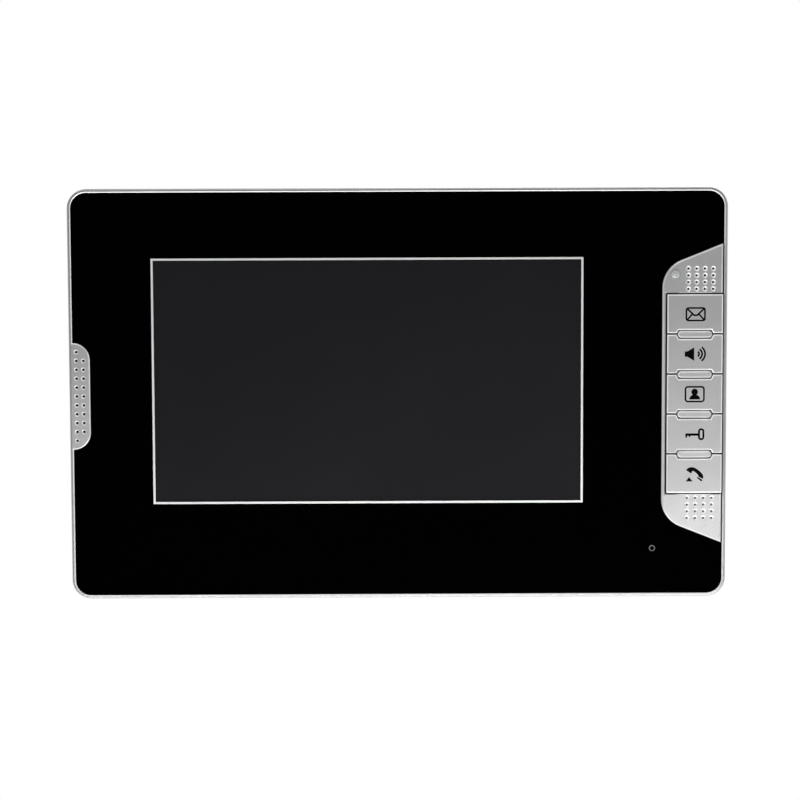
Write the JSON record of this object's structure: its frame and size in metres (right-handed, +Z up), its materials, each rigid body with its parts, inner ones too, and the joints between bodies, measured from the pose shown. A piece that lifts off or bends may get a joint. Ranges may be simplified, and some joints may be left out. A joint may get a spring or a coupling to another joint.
{
  "type": "video intercom monitor",
  "caption": "Wall-mounted indoor monitor of a wired video door intercom: wide screen, push-key column, speaker grille, rear cover and steel bracket.",
  "frame": {"origin": "centre of the bracket's four wall screw holes, on the bracket's back face, in the plane of the wall", "axes": "+Z up, -Y towards the room (the screen faces -Y), +X to the right seen from the front"},
  "size_m": [0.235, 0.0252, 0.1472],
  "materials": {
    "silver_frame": "satin silver paint on ABS",
    "silver_keys": "satin silver paint with fine metallic grain",
    "silver_trim": "satin silver",
    "gloss_black": "high gloss black acrylic",
    "screen_tint": "dark tinted acrylic over an unlit display",
    "clear_plastic": "clear acrylic light pipe",
    "dark_abs": "fine textured dark ABS",
    "zinc_steel": "zinc plated pressed steel",
    "black_screw": "black zinc",
    "bright_screw": "bright zinc",
    "board_green": "green solder mask",
    "nylon_white": "natural nylon",
    "pin_brass": "tinned brass",
    "foam_black": "closed cell foam",
    "tape_white": "double-sided tape",
    "lcd_glass": "polarised cell glass",
    "diffuser_white": "white film",
    "guide_clear": "clear acrylic",
    "flex_amber": "polyimide",
    "chip_black": "moulded epoxy",
    "can_aluminium": "bright can",
    "ferrite": "ferrite",
    "switch_black": "moulded nylon",
    "led_clear": "clear epoxy",
    "speaker_steel": "black painted steel",
    "cone_paper": "black paper",
    "wire_grey": "PVC insulation",
    "boot_rubber": "silicone rubber",
    "mesh_black": "woven dust mesh"
  },
  "bodies": {
    "wall_bracket": {"wall_bracket": "zinc_steel"},
    "key_message": {"key_message": "silver_keys", "plunger_message": "switch_black"},
    "key_volume": {"key_volume": "silver_keys", "plunger_volume": "switch_black"},
    "key_monitor": {"key_monitor": "silver_keys", "plunger_monitor": "switch_black"},
    "key_unlock": {"key_unlock": "silver_keys", "plunger_unlock": "switch_black"},
    "key_talk": {"key_talk": "silver_keys", "plunger_talk": "switch_black"},
    "brightness_wheel": {"brightness_wheel": "dark_abs"},
    "contrast_wheel": {"contrast_wheel": "dark_abs"},
    "monitor": {"board_screws": "bright_screw", "capacitors": "can_aluminium", "coil": "ferrite", "door_socket_1": "nylon_white", "door_socket_2": "nylon_white", "front_frame": "silver_frame", "front_panel": "gloss_black", "grille_mesh": "mesh_black", "housing_screws": "black_screw", "key_board": "board_green", "key_board_screws": "bright_screw", "key_ribbon": "wire_grey", "key_switches": "switch_black", "key_trim": "silver_keys", "lcd_cell": "lcd_glass", "lcd_clip_screws": "bright_screw", "lcd_clips": "zinc_steel", "lcd_diffuser": "diffuser_white", "lcd_flex": "flex_amber", "lcd_flex_socket": "nylon_white", "lcd_frame": "zinc_steel", "lcd_light_bar": "led_clear", "lcd_light_guide": "guide_clear", "lcd_tray": "zinc_steel", "lead_sockets": "nylon_white", "main_board": "board_green", "microphone": "can_aluminium", "microphone_boot": "boot_rubber", "microphone_lead": "wire_grey", "panel_tape": "tape_white", "potentiometers": "switch_black", "power_socket": "nylon_white", "processor": "chip_black", "rear_cover": "dark_abs", "screen_gasket": "foam_black", "screen_lens": "screen_tint", "screen_trim": "silver_trim", "small_chips": "chip_black", "socket_pins": "pin_brass", "speaker_cone": "cone_paper", "speaker_frame": "speaker_steel", "speaker_gasket": "foam_black", "speaker_lead": "wire_grey", "speaker_magnet": "ferrite", "status_led": "led_clear", "status_lens": "clear_plastic"}
  },
  "joints": [
    {"name": "monitor_lift", "type": "slide", "parent": "wall_bracket", "child": "monitor", "axis": [0, 0, 1], "range_m": [0, 0.0055]},
    {"name": "press_message", "type": "slide", "parent": "monitor", "child": "key_message", "axis": [0, 1, 0], "range_m": [0, 0.0005], "stiffness_N_per_m": 2500, "springref_m": -0.0003},
    {"name": "press_volume", "type": "slide", "parent": "monitor", "child": "key_volume", "axis": [0, 1, 0], "range_m": [0, 0.0005], "stiffness_N_per_m": 2500, "springref_m": -0.0003},
    {"name": "press_monitor", "type": "slide", "parent": "monitor", "child": "key_monitor", "axis": [0, 1, 0], "range_m": [0, 0.0005], "stiffness_N_per_m": 2500, "springref_m": -0.0003},
    {"name": "press_unlock", "type": "slide", "parent": "monitor", "child": "key_unlock", "axis": [0, 1, 0], "range_m": [0, 0.0005], "stiffness_N_per_m": 2500, "springref_m": -0.0003},
    {"name": "press_talk", "type": "slide", "parent": "monitor", "child": "key_talk", "axis": [0, 1, 0], "range_m": [0, 0.0005], "stiffness_N_per_m": 2500, "springref_m": -0.0003},
    {"name": "turn_brightness", "type": "hinge", "parent": "monitor", "child": "brightness_wheel", "pos_m": [0.02, -0.0054, -0.06285], "axis": [0, 1, 0], "range_deg": [-135, 135]},
    {"name": "turn_contrast", "type": "hinge", "parent": "monitor", "child": "contrast_wheel", "pos_m": [0.042, -0.0054, -0.06285], "axis": [0, 1, 0], "range_deg": [-135, 135]}
  ]
}
